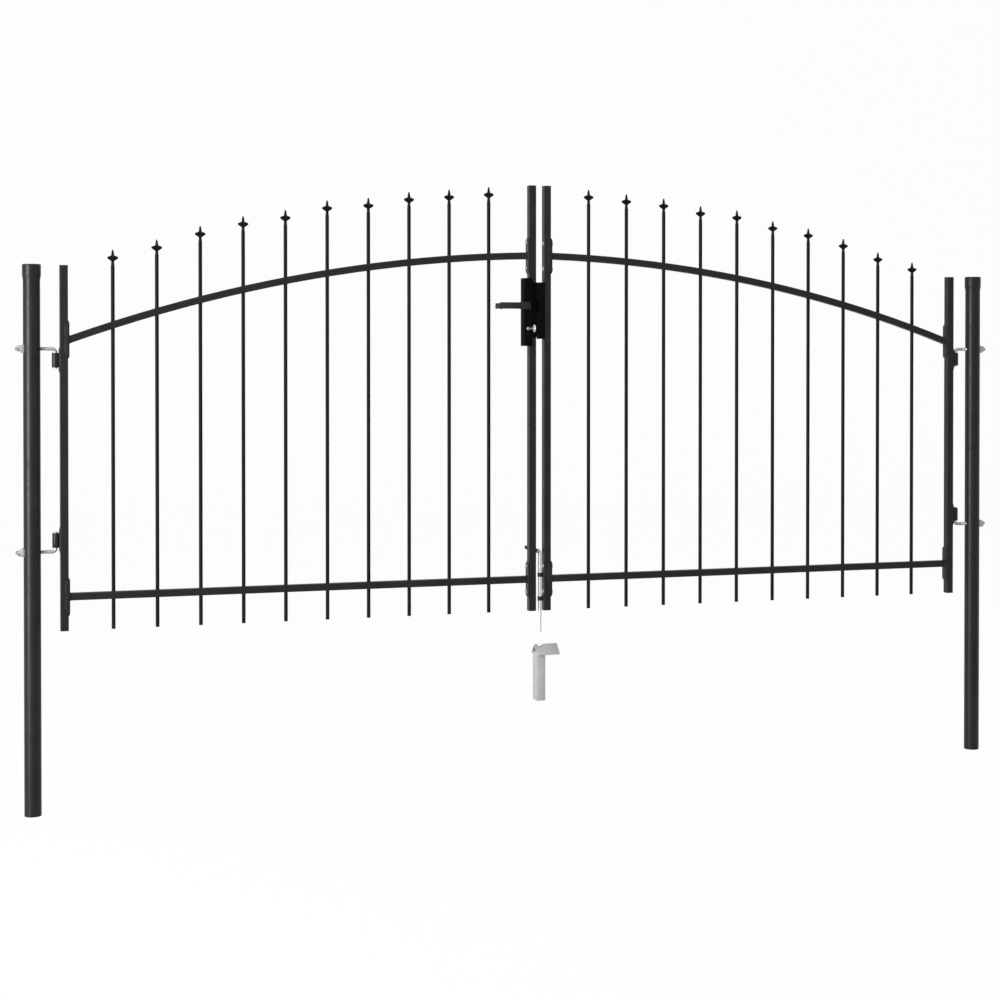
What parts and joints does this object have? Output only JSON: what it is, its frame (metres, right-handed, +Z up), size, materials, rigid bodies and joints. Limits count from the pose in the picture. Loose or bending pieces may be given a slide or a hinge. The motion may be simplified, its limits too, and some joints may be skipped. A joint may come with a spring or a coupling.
{
  "type": "double-leaf steel garden gate",
  "caption": "Arched double-leaf driveway gate of black steel tube with spear-topped pickets, hung on two round posts by pin hinges, with a lever lock, drop bolt and ground stop.",
  "frame": {"origin": "centre of the flat foot of the left post", "axes": "+X along the closed gate from the left post to the right post, +Y away from the lever side, the way the leaves open, +Z up"},
  "size_m": [2.992, 0.224, 1.75],
  "materials": {
    "black_powder_coat": "satin black powder coat",
    "lock_black": "matt black coat",
    "galvanised_steel": "dull zinc galvanising",
    "nickel_plate": "satin nickel plate"
  },
  "bodies": {
    "root": {"left_post_lower": "black_powder_coat", "left_post_upper": "black_powder_coat", "left_post_cap": "black_powder_coat", "right_post_lower": "black_powder_coat", "right_post_upper": "black_powder_coat", "right_post_cap": "black_powder_coat", "left_hinge_bolts": "galvanised_steel", "right_hinge_bolts": "galvanised_steel", "hinge_saddles": "galvanised_steel", "hinge_nuts": "galvanised_steel", "ground_stop_stake": "galvanised_steel", "ground_stop_roof": "galvanised_steel"},
    "left_leaf": {"left_hinge_stile": "black_powder_coat", "left_lock_stile": "black_powder_coat", "left_hinge_barrels": "black_powder_coat", "left_top_rail": "black_powder_coat", "left_bottom_rail": "black_powder_coat", "left_rail_brackets": "black_powder_coat", "left_bracket_bolts": "galvanised_steel", "left_pickets": "black_powder_coat", "left_spear_tips": "black_powder_coat", "lock_case": "lock_black", "lock_cylinder": "lock_black"},
    "right_leaf": {"right_hinge_stile": "black_powder_coat", "right_lock_stile": "black_powder_coat", "right_hinge_barrels": "black_powder_coat", "right_top_rail": "black_powder_coat", "right_bottom_rail": "black_powder_coat", "right_rail_brackets": "black_powder_coat", "right_bracket_bolts": "galvanised_steel", "right_pickets": "black_powder_coat", "right_spear_tips": "black_powder_coat", "lock_keep": "lock_black", "drop_bolt_guides": "black_powder_coat"},
    "lever": {"lever_handle": "lock_black", "lever_spindle": "galvanised_steel"},
    "key": {"key": "nickel_plate", "lock_plug": "nickel_plate"},
    "drop_bolt": {"drop_bolt": "galvanised_steel"}
  },
  "joints": [
    {"name": "left_leaf_swing", "type": "hinge", "parent": "root", "child": "left_leaf", "pos_m": [0.0625, 0, 0.717], "axis": [0, 0, 1], "range_deg": [0, 90]},
    {"name": "right_leaf_swing", "type": "hinge", "parent": "root", "child": "right_leaf", "pos_m": [2.8415, 0, 0.717], "axis": [0, 0, -1], "range_deg": [0, 90]},
    {"name": "lever_turn", "type": "hinge", "parent": "left_leaf", "child": "lever", "pos_m": [1.4099, 0, 1.397], "axis": [0, -1, 0], "range_deg": [0, 40], "stiffness_Nm_per_rad": 0.8, "springref_deg": -22.92},
    {"name": "key_turn", "type": "hinge", "parent": "left_leaf", "child": "key", "pos_m": [1.4099, 0, 1.33], "axis": [0, -1, 0], "range_deg": [0, 90]},
    {"name": "drop_bolt_slide", "type": "slide", "parent": "right_leaf", "child": "drop_bolt", "axis": [0, 0, -1], "range_m": [0, 0.048]}
  ]
}
